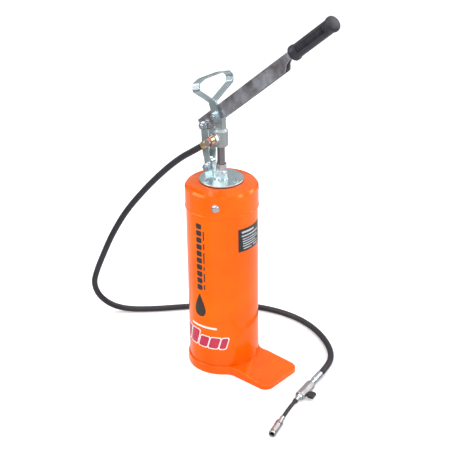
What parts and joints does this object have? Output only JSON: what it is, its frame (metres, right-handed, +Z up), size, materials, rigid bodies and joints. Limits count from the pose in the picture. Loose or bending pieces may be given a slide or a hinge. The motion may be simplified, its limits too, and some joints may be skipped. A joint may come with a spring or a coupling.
{
  "type": "gear oil pump",
  "caption": "Hand lever gear oil pump: round tank on a foot pedal, plunger pump in the lid, carry handle, delivery hose with hand valve and coupler.",
  "frame": {"origin": "on the floor, on the tank's axis, in the plane of the foot's lower rim", "axes": "+Z up along the tank and plunger; +X towards the foot pedal and the lever's grip; -Y the side of the outlet, nuts and hose"},
  "size_m": [0.5957, 0.3812, 0.77],
  "materials": {
    "orange_enamel": "gloss enamel",
    "black_plate": "satin film",
    "nitrile": "matt",
    "zinc_fasteners": "bright zinc",
    "zinc_plate": "zinc plated",
    "zinc_turned": "zinc plated, turned",
    "ground_steel": "ground",
    "dark_steel": "drawn",
    "cast_head": "zinc over casting",
    "copper": "soft annealed copper",
    "yellow_brass": "passivated",
    "grip_vinyl": "soft dipped",
    "hose_rubber": "wrapped cover",
    "nickel": "nickel plated",
    "valve_nylon": "moulded",
    "ptfe": "waxy"
  },
  "bodies": {
    "tank": {"foot_base": "orange_enamel", "tank_shell": "orange_enamel", "tank_bottom": "orange_enamel", "tank_cap": "orange_enamel", "cap_seal": "nitrile", "cap_screws": "zinc_fasteners", "inner_nuts": "zinc_fasteners", "data_plate": "black_plate", "flange_gasket": "nitrile", "pump_flange": "zinc_plate", "flange_screws": "zinc_fasteners", "pivot_lug": "zinc_plate", "gland_body": "zinc_turned", "rod_seals": "nitrile", "gland_nut": "zinc_turned", "pump_cylinder": "dark_steel", "foot_valve_body": "dark_steel", "foot_stop_pin": "ground_steel", "suction_strainer": "dark_steel", "lug_bolt": "zinc_fasteners", "lug_nut": "zinc_fasteners", "lug_washers": "zinc_fasteners", "delivery_hose": "hose_rubber", "valve_ferrule": "zinc_turned", "valve_body": "nickel", "valve_seats": "ptfe", "reducer_nipple": "zinc_turned", "whip_collar": "hose_rubber", "whip_hose": "hose_rubber", "whip_ferrule": "zinc_turned", "coupler_body": "nickel", "coupler_seal": "nitrile", "coupler_jaws": "nickel", "coupler_sleeve": "nickel"},
    "links": {"near_link": "zinc_plate", "far_link": "zinc_plate", "fulcrum_bolt": "zinc_fasteners", "fulcrum_nut": "zinc_fasteners", "fulcrum_washers": "zinc_fasteners"},
    "lever": {"lever_channel": "zinc_plate", "lever_grip": "grip_vinyl"},
    "head": {"head_block": "cast_head", "plunger_rod": "ground_steel", "piston_body": "dark_steel", "piston_seal": "nitrile", "outlet_adapter": "zinc_turned", "banjo_washers": "copper", "banjo_bolt": "zinc_turned", "banjo_eye": "yellow_brass", "head_ferrule": "yellow_brass", "head_bolt": "zinc_fasteners", "head_nut": "zinc_fasteners", "head_washers": "zinc_fasteners", "carry_handle": "zinc_plate"},
    "foot_ball": {"foot_valve_ball": "ground_steel"},
    "delivery_ball": {"piston_ball": "ground_steel"},
    "valve_key": {"valve_ball": "ground_steel", "valve_stem": "ground_steel", "valve_knob": "valve_nylon", "knob_screw": "zinc_fasteners"}
  },
  "joints": [
    {"name": "link_swing", "type": "hinge", "parent": "tank", "child": "links", "pos_m": [-0.0275, 0, 0.42], "axis": [0, 1, 0], "range_deg": [-8.2, 0.2]},
    {"name": "lever_pump", "type": "hinge", "parent": "links", "child": "lever", "pos_m": [-0.03208, 0, 0.50589], "axis": [0, 1, 0], "range_deg": [0, 53.9]},
    {"name": "plunger_slide", "type": "slide", "parent": "tank", "child": "head", "axis": [0, 0, 1], "range_m": [-0.0325, 0.0005], "deforming": ["delivery_hose"]},
    {"name": "foot_ball_lift", "type": "slide", "parent": "tank", "child": "foot_ball", "axis": [0, 0, 1], "range_m": [0, 0.002]},
    {"name": "delivery_ball_lift", "type": "slide", "parent": "head", "child": "delivery_ball", "axis": [0, 0, 1], "range_m": [0, 0.0015]},
    {"name": "hand_valve", "type": "hinge", "parent": "tank", "child": "valve_key", "pos_m": [0.21738, -0.02197, 0.0096], "axis": [0.9863, 0.165, 0], "range_deg": [0, 90]}
  ],
  "couplings": [
    {"joint": "link_swing", "follows": "lever_pump", "ratio": -0.1475},
    {"joint": "plunger_slide", "follows": "lever_pump", "m_per_rad": -0.034}
  ]
}
